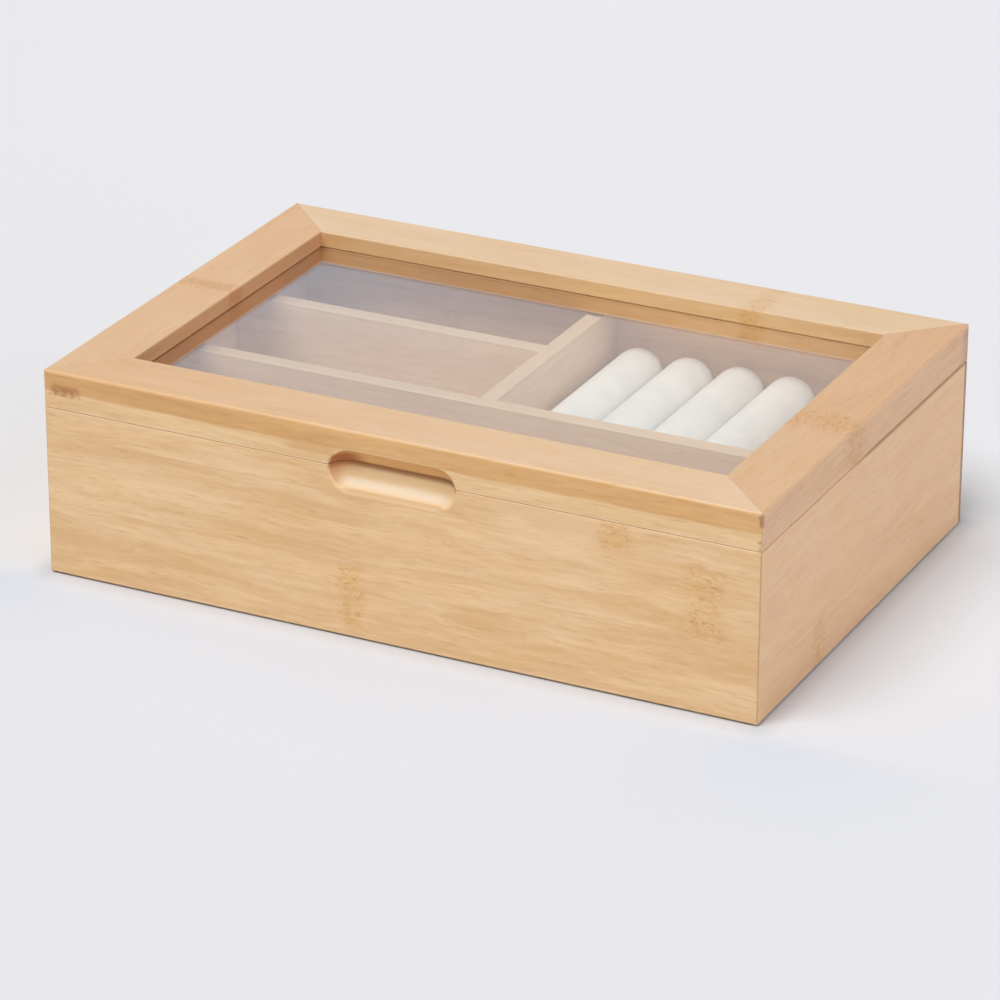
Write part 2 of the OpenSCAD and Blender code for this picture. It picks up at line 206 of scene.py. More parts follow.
# low is the colours of the light and the dark fibres of the strips below the joint, high of those above
# it. top is the colour of a board's top at the two ends of its grain.
WALL = one_look(rgba(235, 201, 157), rgba(216, 175, 126))
SIDE_WALL = one_look(rgba(240, 200, 157), rgba(228, 183, 139))
BACK_WALL = one_look(rgba(241, 203, 160), rgba(223, 177, 129))
DIVIDER = one_look(rgba(244, 212, 175), rgba(231, 192, 149), top=(rgba(219, 187, 151), rgba(226, 196, 160)))
FRONT_RAIL = {
    "low": (rgba(235, 203, 158), rgba(218, 179, 128)),
    "high": (rgba(222, 177, 122), rgba(203, 153, 98)),
    "top": (rgba(222, 181, 137), rgba(230, 199, 164)),
}
BACK_RAIL = {
    "low": (rgba(236, 189, 143), rgba(218, 167, 120)),
    "high": (rgba(220, 181, 133), rgba(208, 163, 113)),
    "top": (rgba(227, 197, 160), rgba(226, 197, 161)),
}
LEFT_RAIL = {
    "low": (rgba(228, 181, 134), rgba(210, 159, 112)),
    "high": (rgba(228, 181, 134), rgba(214, 163, 116)),
    "top": (rgba(225, 187, 147), rgba(221, 180, 140)),
}
RIGHT_RAIL = {
    "low": (rgba(228, 186, 148), rgba(216, 172, 133)),
    "high": (rgba(229, 187, 149), rgba(216, 172, 133)),
    "top": (rgba(221, 183, 143), rgba(214, 172, 132)),
}


def stretched(net, place, along, lengths, offset):
    """The place with the grain's axis squeezed, for a noise that runs along the grain."""
    size = [lengths[1]] * 3
    size[along] = lengths[0]
    parts = [net.math("DIVIDE", value, length) for value, length in zip(place, size)]
    return net.vector("ADD", net.joined(*parts), offset)


def inside(net, value, low, high, soft):
    """1 where the value lies between low and high, with soft borders."""
    over = net.range(value, low - soft, low + soft)
    under = net.range(value, high - soft, high + soft, 1, 0)
    return net.math("MULTIPLY", over, under)


def region(net, place, low, high, soft, strength):
    """strength inside the box from low to high, with its own softness along each axis.
    None leaves an axis open."""
    for axis in (X, Y, Z):
        if low[axis] is not None:
            share = inside(net, place[axis], low[axis], high[axis], soft[axis])
            strength = net.math("MULTIPLY", strength, share)
    return strength


def knuckle_mask(net, place, along, knuckles, wobble):
    """How far the point is inside one of the knuckles.
    A knuckle is (middle along the grain, lowest z, highest z, half width), in millimetres."""
    band = 0.0
    for middle, low, high, half in knuckles:
        reach = net.math("ADD", net.math("SUBTRACT", place[along], middle), wobble)
        across = net.range(net.math("ABSOLUTE", reach), half * 0.3, half * 1.2, 1, 0)
        strip = inside(net, place[Z], low, high, KNUCKLE_BORDER)
        band = net.math("MAXIMUM", band, net.math("MULTIPLY", strip, across))
    return band


def aside(net, place, along, shift):
    """The place moved by shift across the grain."""
    return [value if axis == along else net.math("ADD", value, shift) for axis, value in enumerate(place)]


def mitre_line(net, here, on_top, on_edges):
    """How strongly the corner joint shows: on_top on the top, on_edges on the upright edges."""
    from_side = net.math("SUBTRACT", HALF_W_MM, net.math("ABSOLUTE", here[X]))
    from_end = net.math("SUBTRACT", HALF_D_MM, net.math("ABSOLUTE", here[Y]))
    off = net.math("ABSOLUTE", net.math("SUBTRACT", from_side, from_end))
    edges = net.range(net.math("MINIMUM", from_side, from_end), 2, 3, on_edges, 0)
    top = net.range(here[Z], TOP_MM - 1.2, TOP_MM - 0.8, 0, on_top)
    return net.math("MULTIPLY", net.range(off, 0.12, 0.62, 1, 0), net.math("MAXIMUM", edges, top))


def painted(net, here, colour, zones, marks):
    """The colour with the zones and then the ragged marks laid over it."""
    for low, high, soft, strength, tint in zones:
        colour = net.mix(region(net, here, low, high, soft, strength), colour, tint)
    if marks:
        ragged = net.math("SUBTRACT", net.noise(net.joined(*here), scale=0.5, roughness=0.6), 0.5)
        patchy = net.range(ragged, -0.2, 0.12, 0.45, 1)
        torn_place = [net.math("ADD", value, net.math("MULTIPLY", ragged, 3)) for value in here]
    for low, high, soft, strength, tint in marks:
        spot = region(net, torn_place, low, high, soft, net.math("MULTIPLY", patchy, strength))
        colour = net.mix(spot, colour, tint)
    return colour


def bamboo(
    name, along, look, seed, joint_z, contrast, wave=0.0, knuckles=(), zones=(), marks=(), mitre=None
):
    """Lacquered bamboo board. The grain runs along X or Y, and strips are stacked in Z with a joint at
    joint_z, which wanders by wave.
    zones are parts of the board with a tint of their own and marks are ragged spots, both given as
    (lowest place, highest place, softness along each axis, strength, colour).
    mitre is how strongly the corner joint shows on the top and on the upright edges."""
    material = bpy.data.materials.new(name)
    net = Net(material)
    place = here = place_mm(net)
    g, z = here[along], here[Z]
    level = z
    if wave:
        bend = net.noise(net.joined(net.math("DIVIDE", g, 26), seed, 0), detail=1)
        level = net.math("ADD", z, net.swing(bend, wave))
    strips = net.math("DIVIDE", net.math("SUBTRACT", level, joint_z), STRIP_W)
    strip = net.joined(net.math("FLOOR", strips), seed, 0)
    chance = net.new("TexWhiteNoise", {0: strip}, noise_dimensions="3D")
    own = net.vector("SCALE", chance.outputs["Color"])
    own.node.inputs["Scale"].default_value = 40
    offset = net.vector("ADD", own, (seed * 7.3, seed * 3.1, seed * 5.7))

    def grain(lengths, **settings):
        """A noise with these lengths along and across the grain, at the place as it is by then."""
        return net.noise(stretched(net, place, along, lengths, offset), **settings)

    # The fibres wander a little, and knuckles push them aside
    drift = net.noise(net.joined(net.math("DIVIDE", g, 34), net.math("DIVIDE", z, 16), seed), detail=1)
    place = aside(net, place, along, net.swing(drift, 5))
    band = 0.0
    if knuckles:
        band = knuckle_mask(net, place, along, knuckles, net.swing(grain((8, 3)), 9))
        push = net.math("MULTIPLY", net.swing(grain((4, 2.4)), 4), band)
        place = aside(net, place, along, push)

    # Fibres: broad bands, streaks and fine fibres together make the tone between dark and light
    broad = grain((80, 8))
    streak = grain((22, 1.8), roughness=0.55)
    fibre = grain((6, 0.7), roughness=0.6)
    tone = net.math("ADD", net.math("MULTIPLY", broad, 0.44), net.math("MULTIPLY", streak, 0.36))
    tone = net.math("ADD", tone, net.math("MULTIPLY", fibre, 0.2))
    tone = net.math("ADD", tone, net.swing(chance.outputs["Value"], 0.08))
    tone = net.range(tone, 0.5 - 0.17 / contrast, 0.5 + 0.17 / contrast)
    above = net.range(level, joint_z - 0.3, joint_z + 0.3)
    light = net.mix(above, look["low"][0], look["high"][0])
    dark = net.mix(above, look["low"][1], look["high"][1])
    colour = net.mix(tone, dark, light)
    if "top" in look:
        ends = (HALF_W_MM, HALF_D_MM)[along]
        pale = net.mix(net.range(g, -ends, ends, smooth=False), *look["top"])
        deep = net.tinted(1.0, pale, TOP_FIBRE)
        face = net.mix(net.math("MULTIPLY", net.math("SUBTRACT", 1, tone), contrast), pale, deep)
        patch = net.range(grain((42, 13), detail=1), 0.36, 0.66, 0, 0.55)
        face = net.tinted(patch, face, TOP_PATCH)
        crest = 1000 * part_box(name)[1].z
        colour = net.mix(net.range(z, crest - 0.75, crest - 0.2), colour, face)
    golden = net.range(grain((34, 8), detail=1), 0.42, 0.68)
    colour = net.tinted(net.math("MULTIPLY", golden, 0.5 * contrast), colour, GOLDEN)
    wisps = net.range(grain((7, 0.8), detail=1), 0.6, 0.76)
    colour = net.mix(net.math("MULTIPLY", wisps, 0.22 * contrast), colour, DARK_FIBRE)
    swirl = grain((3.2, 0.75), roughness=0.55)
    if knuckles:
        mottle = net.range(grain((2.6, 2.4)), 0.32, 0.62, 0.25, 0.95)
        colour = net.tinted(net.math("MULTIPLY", band, mottle), colour, KNUCKLE_WARMTH)
        torn = net.math("MULTIPLY", net.range(swirl, 0.48, 0.72), net.math("MULTIPLY", band, 0.5))
        colour = net.mix(torn, colour, DARK_FIBRE)

    # Thin glue line between strips
    into = net.math("FRACT", strips)
    line = net.math("MULTIPLY", net.math("MINIMUM", into, net.math("SUBTRACT", 1, into)), STRIP_W)
    joint = net.math("MULTIPLY", net.range(line, 0.05, 0.3, 1, 0), net.range(streak, 0.4, 0.6, 0.03, 0.16))
    colour = net.mix(joint, colour, DARK_FIBRE)

    if mitre:
        colour = net.mix(mitre_line(net, here, *mitre), colour, BURNT)
    colour = painted(net, here, colour, zones, marks)

    shade = net.math("ADD", net.math("MULTIPLY", fibre, 0.6), net.math("MULTIPLY", swirl, 0.4))
    bump = net.new("Bump", {"Height": shade, "Strength": 0.2, "Distance": 0.00005})
    shader = net.new(
        "BsdfPrincipled",
        {
            "Base Color": colour,
            "Roughness": net.range(streak, 0.3, 0.7, 0.52, 0.42, smooth=False),
            "Specular IOR Level": 0.35,
            "Normal": bump.outputs[0],
        },
    )
    net.surface(shader.outputs[0])
    return material


def dress(node, material):
    """Gives a node of the solids its material."""
    slots = nodes[node].data.materials
    slots.clear()
    slots.append(material)


def dress_wood():
    """The boards' materials. Zones and marks are given as bamboo() says, in millimetres."""
    # The lid's front rail: a smudge at its left end, nicks at its right end, a long stain at the left and
    # one beside the scoop
    smudge = ((-124.0, None, 64.2), (-113.5, None, 67.9), (1.4, 1, 0.8), 0.72, rgba(164, 104, 62))
    nicks = [
        ((125.9, None, 67.6), (128, None, 71.4), (0.3, 1, 0.5), 0.6, BURNT),
        ((125.9, None, 59), (128, None, 63.2), (0.3, 1, 0.5), 0.5, BURNT),
    ]
    # The lid's right rail has the other side of the upper nick
    corner_nick = ((126, -88, 67.6), (128, -84.9, 71.4), (0.3, 0.5, 0.5), 0.45, BURNT)
    left_stain = ((-140, -88, 65.6), (-62, -85.5, 71.4), (22, 0.2, 0.5), 0.35, rgba(190, 138, 84))
    scoop_stain = ((-37, -88, 62.4), (-19, -85.6, 65.8), (4, 0.2, 0.5), 0.75, rgba(209, 162, 108))
    # The right side: brown along the body's back edge and at the end of the lid's rail, and painted shade
    # along the seam
    edge = ((125.5, 83.2, None), (128, 87, None), (0.35, 0.4, 1), 0.75, rgba(140, 92, 68))
    rail_end = ((126, 81, 60), (128, 88, 71.5), (0.3, 4, 0.6), 0.55, rgba(168, 128, 114))
    seam = ((126, -6, 58.4), (128, 90, 60.2), (0.3, 14, 0.25), 0.4, rgba(132, 84, 52))
    # The scoop is cut across the strips. Below the seam it is pale, with a painted highlight, and painted
    # shade at its lower lip, along the seam and at its left end
    scoop_low_light_and_shade = [
        ((-24, -85.6, 50), (24, -79, 59.6), (0.3, 0.3, 0.3), 0.7, rgba(233, 201, 154)),
        ((-19, -85.3, 51.9), (20, -79, 54.4), (3, 0.2, 0.9), 0.6, rgba(236, 226, 206)),
        ((-24, -85.6, 58), (24, -79, 59.6), (0.3, 0.2, 0.9), 0.85, rgba(146, 86, 26)),
        ((-24, -85.95, 49), (24, -79, 51.6), (3, 0.05, 0.35), 0.8, rgba(204, 170, 128)),
        ((-24, -85.4, 51), (-19.5, -79, 59.6), (2, 0.2, 2), 0.4, rgba(184, 120, 70)),
        ((-24, -85.4, 56.5), (-15, -79, 59.6), (4, 0.2, 1.5), 0.35, rgba(190, 104, 52)),
    ]
    # In the lid the scoop has painted shade, deepest at its left end and along the seam, and a painted
    # highlight along its top edge
    scoop_high_light_and_shade = [
        ((-24, -85.5, 59), (24, -79, 66.6), (0.3, 0.2, 0.3), 0.8, rgba(222, 164, 98)),
        ((-24, -85.5, 59), (-14, -79, 63), (4, 0.2, 1.5), 0.8, rgba(148, 74, 24)),
        ((-24, -85.7, 59), (24, -79, 60), (0.3, 0.2, 0.3), 0.7, rgba(140, 84, 36)),
        ((-24, -85.95, 63), (24, -85.1, 67), (0.3, 0.05, 1), 0.6, rgba(255, 226, 176)),
    ]
    # Painted light on the eased lips of the seam at the front, lifting the seam's shade
    lower_lip_light = ((None, -90, 58.8), (None, -85.2, 59.6), (0, 0.3, 0.15), 0.3, rgba(222, 178, 130))
    upper_lip_light = ((None, -90, 59), (None, -85.2, 59.8), (0, 0.3, 0.15), 0.5, rgba(252, 228, 192))
    # Painted light on the faces of the seam just behind its lips, and a pale patch of the front right of
    # the scoop
    seam_mouth_light = ((None, -86.2, 59.12), (None, -82, 59.48), (0, 0.1, 0.04), 0.9, rgba(240, 212, 176))
    pale_front = ((38, -88, 46), (72, -85.5, 58.6), (7, 0.2, 2.5), 0.28, rgba(243, 212, 176))
    # The inner face of the back wall is warmer at the right
    gold = ((10, 70, 0), (132, 78.6, 62), (9, 0.3, 1), 0.25, rgba(246, 190, 124))
    # The inner face of the left rail: painted shade above the pane's top and painted light below it
    left_rail_inner_shading = [
        ((-105.8, -90, 66.6), (-105, 90, 71.7), (0.2, 1, 0.4), 0.5, rgba(198, 138, 92)),
        ((-105.8, -90, 58), (-105, 90, 66.6), (0.2, 1, 0.4), 0.8, rgba(227, 164, 121)),
    ]
    # Each board's grain, colours, seed, height of a joint between strips, contrast and knuckles
    boards = {
        "front_wall": (X, WALL, 3, 26.0, 0.95, [(108.5, 26, 50, 8), (77, 50, 60, 6), (-14.5, 2, 26, 5)]),
        "back_wall": (X, BACK_WALL, 5, 20.0, 0.95, [(-62, 20, 44, 6), (48, -4, 20, 6), (88, 44, 60, 5)]),
        "left_wall": (Y, WALL, 7, 23.0, 0.8, [(31, 23, 47, 6), (-52, -1, 23, 5)]),
        "right_wall": (Y, SIDE_WALL, 9, 17.0, 0.65, [(-38, -7, 17, 5)]),
        "lid_front_rail": (X, FRONT_RAIL, 11, RAIL_JOINT, 0.85, []),
        "lid_back_rail": (X, BACK_RAIL, 13, RAIL_JOINT, 0.8, [(58, 59, 74, 5)]),
        "lid_left_rail": (Y, LEFT_RAIL, 15, RAIL_JOINT, 0.9, [(2.5, 59, 74, 4)]),
        "lid_right_rail": (Y, RIGHT_RAIL, 17, RAIL_JOINT, 1.0, [(-12, 59, 74, 9)]),
    }
    zones = {
        "front_wall": [pale_front, lower_lip_light, seam_mouth_light, *scoop_low_light_and_shade],
        "back_wall": [gold],
        "right_wall": [edge, seam],
        "lid_front_rail": [upper_lip_light, seam_mouth_light, left_stain, scoop_stain, *scoop_high_light_and_shade],
        "lid_left_rail": left_rail_inner_shading,
        "lid_right_rail": [seam, rail_end, corner_nick],
    }
    # The knuckle across the left rail, warmer on its inner face
    left_knuckle = [
        ((-125, 1, 71.6), (-107, 6.5, 73), (3, 1.6, 0.3), 0.5, rgba(194, 144, 98)),
        ((-106.5, -1, 66.8), (-105, 8, 72), (0.3, 1.5, 0.6), 0.45, rgba(186, 116, 62)),
    ]
    marks = {"lid_front_rail": [smudge, *nicks], "lid_left_rail": left_knuckle}
    for node, (along, look, seed, joint_z, contrast, knuckles) in boards.items():
        wave, mitre = (RAIL_WAVE, RAIL_MITRE) if node.startswith("lid_") else (0.0, WALL_MITRE)
        spots = {"zones": zones.get(node, ()), "marks": marks.get(node, ())}
        board = bamboo(node, along, look, seed, joint_z, contrast, wave, knuckles, mitre=mitre, **spots)
        dress(node, board)
    for node, along, seed in (("front_divider", X, 19), ("rear_divider", X, 21), ("cross_divider", Y, 23)):
        dress(node, bamboo(node, along, DIVIDER, seed, 34.0, contrast=0.8))
    dress("bottom_panel", bamboo("bottom_panel", X, DIVIDER, 25, 30.0, contrast=0.9))


# Velvet, felt, steel and glass


def velvet(name, colour, seed):
    """Short cut pile: a soft bloom at grazing angles, slight patches where it leans, and a fine nap."""
    material = bpy.data.materials.new(name)
    net = Net(material)
    place = net.joined(*place_mm(net))
    lean = net.noise(net.vector("ADD", place, (seed, seed, seed)), scale=0.09, detail=3, roughness=0.6)
    nap = net.noise(place, scale=3.2, detail=2, roughness=0.7)
    dim = tuple(v * 0.93 for v in colour[:3]) + (1.0,)
    base = net.mix(net.range(lean, 0.35, 0.65), dim, colour)
    base = net.mix(net.range(nap, 0.3, 0.7, 0.0, 0.10), base, dim)
    bump = net.new("Bump", {"Height": nap, "Strength": 0.35, "Distance": 0.00012})
    shader = net.new(
        "BsdfPrincipled",
        {
            "Base Color": base,
            "Roughness": net.range(nap, 0.3, 0.7, 0.86, 0.98, smooth=False),
            "Specular IOR Level": 0.12,
            "Sheen Weight": 0.35,
            "Sheen Roughness": 0.45,
            "Sheen Tint": (1.0, 0.98, 0.95, 1.0),
            "Normal": bump.outputs[0],
        },
    )
    net.surface(shader.outputs[0])
    return material


def felt():
    """Pressed felt of coarse matted hair."""
    material = bpy.data.materials.new("felt")
    net = Net(material)
    place = net.joined(*place_mm(net))
    hair = net.noise(place, scale=2.6, detail=4, roughness=0.75, distortion=1.2)
    colour = net.mix(net.range(hair, 0.35, 0.7), rgba(84, 78, 70), rgba(120, 112, 102))
    bump = net.new("Bump", {"Height": hair, "Strength": 0.6, "Distance": 0.0002})
    shader = net.new(
        "BsdfPrincipled",
        {"Base Color": colour, "Roughness": 0.95, "Specular IOR Level": 0.1, "Normal": bump.outputs[0]},
    )
    net.surface(shader.outputs[0])
    return material


def steel(name, low, high, brushed):
    """Nickel-plated steel with fine brushing along X and a few duller patches."""
    material = bpy.data.materials.new(name)
    net = Net(material)
    place = place_mm(net)
    width = 0.09 if brushed else 0.6
    lines = net.noise(stretched(net, place, X, (9, width), (3, 1, 4)), detail=2, roughness=0.6)
    patch = net.noise(net.joined(*place), scale=0.35, detail=2)
    colour = net.mix(net.range(lines, 0.3, 0.7), low, high)
    bump = net.new("Bump", {"Height": lines, "Strength": 0.2, "Distance": 0.00002})
    shader = net.new(
        "BsdfPrincipled",
        {
            "Base Color": colour,
            "Metallic": 1.0,
            "Roughness": net.range(patch, 0.3, 0.7, 0.24, 0.38, smooth=False),
            "Normal": bump.outputs[0],
        },
    )
    net.surface(shader.outputs[0])
    return material


def clear_glass():
    """Clear float glass. What is looked at through it is bent as in real glass, and the light that falls
    through it goes straight on, less what is mirrored."""
    face_on = 0.04
    material = bpy.data.materials.new("clear_glass")
    net = Net(material)
    place = net.joined(*place_mm(net))
    facing = net.new("LayerWeight", {"Blend": 0.5}).outputs["Facing"]
    shine = net.math("ADD", net.math("MULTIPLY", net.math("POWER", facing, 4.6), 1 - face_on), face_on)
    smear = net.noise(place, scale=0.03, detail=3, roughness=0.6)
    tint = net.mix(net.range(smear, 0.3, 0.7), (0.985, 0.992, 0.988, 1), (0.975, 0.985, 0.98, 1))
    through = net.new("BsdfTransparent", {"Color": tint})
    gloss = net.new("BsdfGlossy", {"Color": (1, 1, 1, 1), "Roughness": 0.0})
    straight = net.new("MixShader", {0: shine, 1: through.outputs[0], 2: gloss.outputs[0]})
    bent = net.new("BsdfGlass", {"Color": tint, "Roughness": 0.0, "IOR": 1.52})
    path = net.new("LightPath")
    looked = net.math("MAXIMUM", path.outputs["Is Camera Ray"], path.outputs["Is Singular Ray"])
    both = net.new("MixShader", {0: looked, 1: straight.outputs[0], 2: bent.outputs[0]})
    net.surface(both.outputs[0])
    return material


# Soft pieces

# The waves that make a cover's slack uneven: how many, and how fast they run, in radians per metre
RIPPLES, RIPPLE_PACE = 6, 220


def soft_piece(name, rounded, body, replaced, material):
    """A finished soft mesh as a piece of its own."""
    rounded.name = rounded.data.name = name
    rounded.data.materials.clear()
    rounded.data.materials.append(material)
    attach(rounded, body)
    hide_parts(replaced)


def mesh_object(name, mesh_maker):
    data = bpy.data.meshes.new(name)
    made = bmesh.new()
    mesh_maker(made)
    made.to_mesh(data)
    made.free()
    piece = bpy.data.objects.new(name, data)
    bpy.context.scene.collection.objects.link(piece)
    return piece


def smooth(piece):
    piece.data.polygons.foreach_set("use_smooth", [True] * len(piece.data.polygons))


def apply_modifiers(piece):
    """Puts the modifiers' result into the mesh itself."""
    graph = bpy.context.evaluated_depsgraph_get()
    data = bpy.data.meshes.new_from_object(piece.evaluated_get(graph))
    piece.modifiers.clear()
    piece.data = data


def spaced(step, count):
    """-1 to 1 in count steps, closer together towards both ends."""
    return -math.cos(math.pi * step / count) * 0.35 + (2 * step / count - 1) * 0.65


def cushion_grid(low, high, edge, crown, cell):
    """A closed pad from low to high: rounded upper edges, a slightly crowned top and a flat underside."""

    def build(made):
        counts = [max(6, round((high[i] - low[i]) / cell)) for i in (0, 1)]
        middle = [(low[i] + high[i]) / 2 for i in (0, 1)]
        half = [(high[i] - low[i]) / 2 for i in (0, 1)]
        rows = []
        for i in range(counts[0] + 1):
            u = spaced(i, counts[0])
            row = []
            for j in range(counts[1] + 1):
                v = spaced(j, counts[1])
                x, y = middle[0] + u * half[0], middle[1] + v * half[1]
                rim = min(half[0] * (1 - abs(u)), half[1] * (1 - abs(v)))
                drop = 0.0
                if rim < edge:
                    drop = edge - math.sqrt(max(0.0, edge * edge - (edge - rim) ** 2))
                swell = crown * (1 - u * u) * (1 - v * v)
                row.append((x, y, high[2] - crown - drop + swell))
            rows.append(row)
        top = [[made.verts.new(p) for p in row] for row in rows]
        base = [[made.verts.new((p[0], p[1], low[2])) for p in row] for row in rows]
        for i in range(counts[0]):
            for j in range(counts[1]):
                made.faces.new((top[i][j], top[i + 1][j], top[i + 1][j + 1], top[i][j + 1]))
                made.faces.new((base[i][j], base[i][j + 1], base[i + 1][j + 1], base[i + 1][j]))
        for i in range(counts[0]):
            for j, way in ((0, 1), (counts[1], -1)):
                ring = [base[i][j], base[i + 1][j], top[i + 1][j], top[i][j]]
                made.faces.new(ring[::way])
        for j in range(counts[1]):
            for i, way in ((0, -1), (counts[0], 1)):
                ring = [base[i][j], base[i][j + 1], top[i][j + 1], top[i][j]]
                made.faces.new(ring[::way])

    return build


def roll_form(low, high, end_r, end_steps=8, around=40, cells=46):
    """A foam rod along Y with rounded ends, its cover closed with a gathered seam at each end."""

    def build(made):
        radius = (high.x - low.x) / 2
        x, z = (low.x + high.x) / 2, (low.z + high.z) / 2
        half = (high.y - low.y) / 2
        middle = (low.y + high.y) / 2
        stations = []
        for k in range(end_steps + 1):
            a = math.pi / 2 * k / end_steps
            stations.append((-half + end_r * (1 - math.sin(a)), radius - end_r * (1 - math.cos(a))))
        stations.sort()
        profile = list(stations)
        straight = np.linspace(-half + end_r, half - end_r, cells)[1:-1]
        profile += [(float(y), radius) for y in straight]
        profile += [(-y, r) for y, r in reversed(stations)]
        rings = []
        for y, r in profile:
            rings.append(
                [
                    made.verts.new((x + r * math.cos(t), middle + y, z + r * math.sin(t)))
                    for t in (2 * math.pi * (n + 0.5) / around for n in range(around))
                ]
            )
        for a, b in zip(rings, rings[1:]):
            for n in range(around):
                m = (n + 1) % around
                made.faces.new((a[n], a[m], b[m], b[n]))
        for ring, y, way in ((rings[0], -half, 1), (rings[-1], half, -1)):
            hub = made.verts.new((x, middle + y, z))
            for n in range(around):
                m = (n + 1) % around
                made.faces.new((hub, ring[m], ring[n]) if way > 0 else (hub, ring[n], ring[m]))

    return build


def soften(piece, voxel, pressure, cap, seed, frames=14):
    """Voxel remesh and a short pressure cloth run, so that the cover gets its own slight slack and puffs.
    Points move at most cap."""
    piece.modifiers.new("voxels", "REMESH").voxel_size = voxel
    apply_modifiers(piece)
    rest = np.array([v.co for v in piece.data.vertices])
    rng = np.random.default_rng(seed)
    waves = rng.normal(size=(RIPPLES, 3)) * RIPPLE_PACE
    phases = rng.uniform(0, 2 * math.pi, RIPPLES)
    cloth = piece.modifiers.new("cloth", "CLOTH")
    cloth.settings.quality = 4
    cloth.settings.mass = 0.15
    cloth.settings.tension_stiffness = 12
    cloth.settings.compression_stiffness = 12
    cloth.settings.bending_stiffness = 0.4
    cloth.settings.use_pressure = True
    cloth.settings.uniform_pressure_force = pressure
    cloth.settings.effector_weights.gravity = 0
    cloth.point_cache.frame_start, cloth.point_cache.frame_end = 1, frames
    scene = bpy.context.scene
    for number in range(1, frames + 1):
        scene.frame_set(number)
    apply_modifiers(piece)
    scene.frame_set(1)
    moved = np.array([v.co for v in piece.data.vertices]) - rest
    ripple = np.sin(rest @ waves.T + phases).sum(1, keepdims=True) / RIPPLES
    moved *= 1 + 0.5 * ripple
    size = np.linalg.norm(moved, axis=1, keepdims=True)
    moved *= np.minimum(1, cap / np.maximum(size, 1e-9))
    piece.data.vertices.foreach_set("co", (rest + moved).astype(np.float32).ravel())
    piece.data.update()


def ring_rolls(material):
    for number in range(1, 7):
        node = f"ring_roll_{number}"
        low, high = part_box(node)
        spare = Vector((0.35, 0.5, 0.35)) * MM
        piece = mesh_object(node + "_cover", roll_form(low + spare, high - spare, 6.3 * MM))
        soften(piece, 1.15 * MM, 3.0, 0.3 * MM, number)
        piece.modifiers.new("smooth", "SUBSURF").render_levels = 1
        piece.modifiers["smooth"].levels = 1
        apply_modifiers(piece)
        smooth(piece)
        soft_piece(node + "_cover", piece, "box_body", node, material)


def pads(material, cushion):
    for node in ("front_lining", "middle_lining", "rear_lining"):
        low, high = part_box(node)
        piece = mesh_object(node + "_pad", cushion_grid(low, high, 0.8 * MM, 0.25 * MM, 3 * MM))
        smooth(piece)
        soft_piece(node + "_pad", piece, "box_body", node, material)
    node = "ring_cushion_base"
    low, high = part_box(node)
    piece = mesh_object(node + "_cover", cushion_grid(low, high, 2 * MM, 0.5 * MM, 2.5 * MM))
    smooth(piece)
    soft_piece(node + "_cover", piece, "box_body", node, cushion)


# Light and floor

FLOOR_COLOUR = rgba(234, 234, 237)
FLOOR_CLOUD = rgba(232, 232, 235)
# Painted light that lifts the box's shadow on the paper behind it and at its left
FLOOR_SHADOW_LIFT = rgba(252, 253, 254)
# What the paper's colour is multiplied by in front of the box, to cancel the warm light that the bamboo
# throws on it, and right beside it, as a painted contact shadow
FLOOR_COOLER = (0.85, 0.91, 0.985, 1.0)
FLOOR_CONTACT_SHADE = (0.82, 0.82, 0.83, 1.0)
AMBIENT, AMBIENT_COLOUR = 0.36, (0.97, 0.99, 1.04, 1.0)
# Each far softbox: the way to it from the box, its width as an angle, its level and its colour.
# At level 1 a surface that faces it renders as bright as its colour is written.
SOFTBOXES = {
    "key": ((-0.2, -0.5, 1.0), 36, 0.62, (1.0, 0.99, 0.96)),
    "front_fill": ((0.35, -0.9, 0.42), 60, 0.08, (0.98, 0.99, 1.0)),
    "right_fill": ((0.9, -0.25, 0.4), 60, 0.22, (0.95, 0.98, 1.05)),
}
# The backdrop that glass and lacquer mirror: behind the box it has a cool left side, bluer low down,
# and a warm right side
BACKDROP = (0.97, 0.98, 1.04, 1.0)
BACKDROP_LOW, BACKDROP_LEFT = (0.88, 1.04, 1.24, 1.0), (1.0, 1.02, 1.12, 1.0)
BACKDROP_RIGHT = (1.12, 1.04, 1.03, 1.0)


def studio_world():
    """Even ambient light, and the backdrop for whatever looks or mirrors past the box."""
    world = bpy.data.worlds.new("studio")
    bpy.context.scene.world = world
    net = Net(world)
    path = net.new("LightPath")
    seen = net.math("MAXIMUM", path.outputs["Is Camera Ray"], path.outputs["Is Glossy Ray"])
    seen = net.math("MAXIMUM", seen, path.outputs["Is Transmission Ray"])
    ambient = net.new("Background", {"Color": AMBIENT_COLOUR, "Strength": AMBIENT})
    # The way that is looked along: across is -1 to the left and 1 to the right, up is 1 overhead
    across, _, up = net.split(net.new("TexCoord").outputs["Generated"])
    left = net.mix(net.range(up, 0.364, 0.386), BACKDROP_LOW, BACKDROP_LEFT)
    left = net.mix(net.range(up, 0.2, 0.34), BACKDROP, left)
    backdrop = net.mix(net.range(across, -0.75, -0.52), BACKDROP, left)
    backdrop = net.mix(net.range(across, -0.46, -0.34), backdrop, BACKDROP_RIGHT)
    backdrop = net.mix(net.range(across, -0.3, -0.05), backdrop, BACKDROP)
    shown = net.new("Background", {"Color": backdrop, "Strength": 1.0})
    both = net.new("MixShader", {0: seen, 1: ambient.outputs[0], 2: shown.outputs[0]})
    out = net.new("OutputWorld")
    net.tree.links.new(both.outputs[0], out.inputs["Surface"])


def softboxes():
    for name, (way, angle, level, colour) in SOFTBOXES.items():
        lamp = bpy.data.lights.new(name, "SUN")
        lamp.angle = math.radians(angle)
        lamp.energy = math.pi * level
        lamp.color = colour
        softbox = bpy.data.objects.new(name, lamp)
        bpy.context.scene.collection.objects.link(softbox)
        softbox.rotation_euler = Vector(way).to_track_quat("Z", "Y").to_euler()


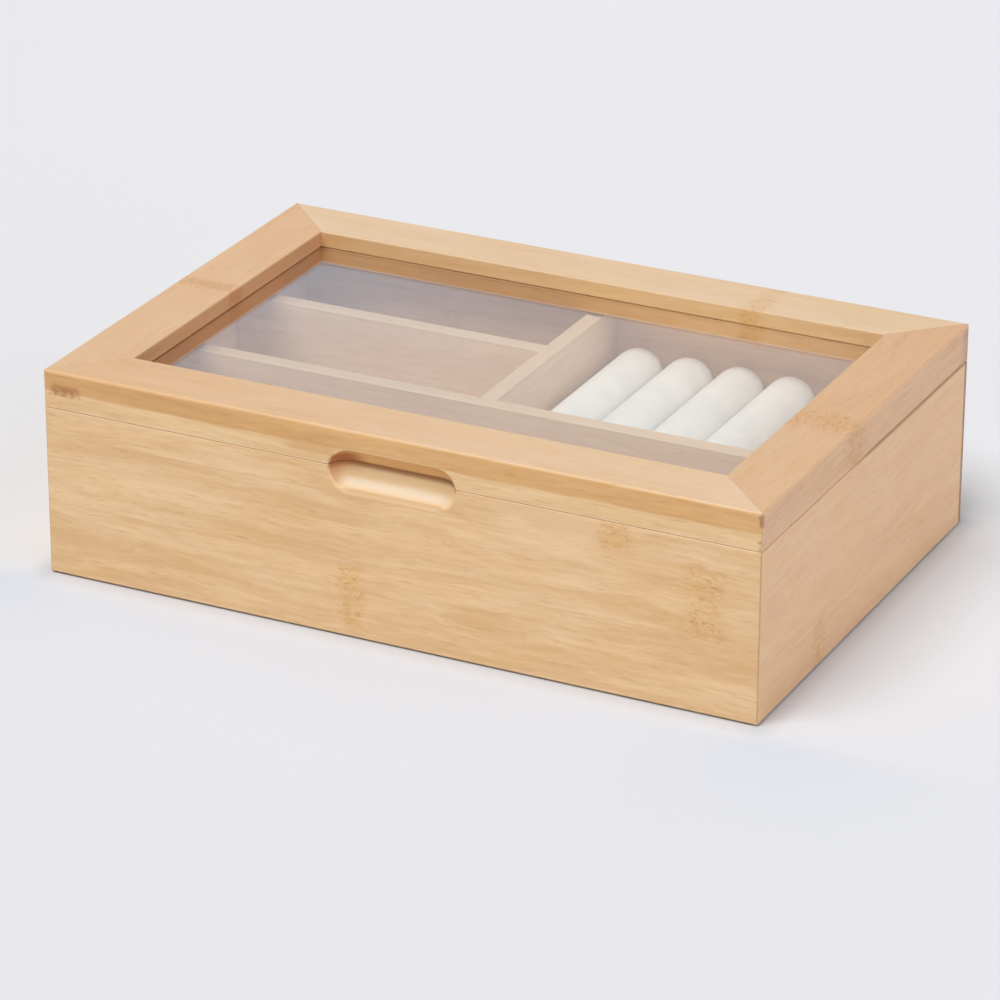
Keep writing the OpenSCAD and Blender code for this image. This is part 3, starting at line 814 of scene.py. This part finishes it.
def paper_floor():
    """Pale paper. It is painted cooler in front of the box, to cancel the warm light from the bamboo that
    falls on it, has painted light behind the right back corner and at the left that lifts the box's shadow,
    and a painted contact shadow right beside the box."""
    material = bpy.data.materials.new("floor")
    net = Net(material)
    x, y, z = place_mm(net)
    cloud = net.noise(net.joined(x, y, z), scale=0.0016, detail=1)
    tone = net.mix(net.range(cloud, 0.3, 0.7), FLOOR_COLOUR, FLOOR_CLOUD)
    out_x = net.math("MAXIMUM", net.math("SUBTRACT", net.math("ABSOLUTE", x), HALF_W_MM), 0)
    out_y = net.math("MAXIMUM", net.math("SUBTRACT", net.math("ABSOLUTE", y), HALF_D_MM), 0)
    away = net.vector("LENGTH", net.joined(out_x, out_y, 0), out=1)
    near = net.math("DIVIDE", 1, net.math("ADD", 1, net.math("POWER", net.math("DIVIDE", away, 42), 2)))
    front = net.math("MAXIMUM", net.range(y, -80, -100), net.range(x, 120, 140, 0, 0.35))
    # Painted cooler where the bamboo's warm light falls, to cancel it
    tone = net.tinted(net.math("MULTIPLY", near, front), tone, FLOOR_COOLER)
    # Painted light behind the right back corner and at the left, lifting the box's shadow there
    behind = net.math("MULTIPLY", net.range(y, 60, 100), net.range(x, 100, 135))
    left = net.math("MULTIPLY", net.range(y, -100, -50, 0, 0.45), net.range(x, -120, -140))
    tone = net.mix(net.math("MULTIPLY", near, net.math("MAXIMUM", behind, left)), tone, FLOOR_SHADOW_LIFT)
    # A painted contact shadow right beside the box
    beside = net.math("MULTIPLY", net.range(away, 0, 9, 1, 0), 0.9)
    tone = net.tinted(beside, tone, FLOOR_CONTACT_SHADE)
    shader = net.new("BsdfPrincipled", {"Base Color": tone, "Roughness": 0.9, "Specular IOR Level": 0.0})
    net.surface(shader.outputs[0])
    sheet = {"x_segments": 1, "y_segments": 1, "size": 12}
    floor = mesh_object("floor", lambda made: bmesh.ops.create_grid(made, **sheet))
    floor.data.materials.append(material)


# The whole

bpy.context.scene.view_settings.view_transform = "Standard"
photo_camera()
studio_world()
softboxes()
paper_floor()
dress_wood()
hinge_steel = steel("hinge_steel", rgba(186, 182, 174), rgba(214, 210, 202), brushed=True)
screw_steel = steel("screw_steel", rgba(196, 193, 186), rgba(222, 219, 212), brushed=False)
for name in nodes:
    if name.startswith("hinge_"):
        dress(name, screw_steel if "screws" in name else hinge_steel)
dress("corner_feet", felt())
dress("lid_pane", clear_glass())
cushion_velvet = velvet("cushion_velvet", rgba(244, 242, 237), 2)
ring_rolls(cushion_velvet)
pads(velvet("lining_velvet", rgba(236, 231, 220), 5), cushion_velvet)
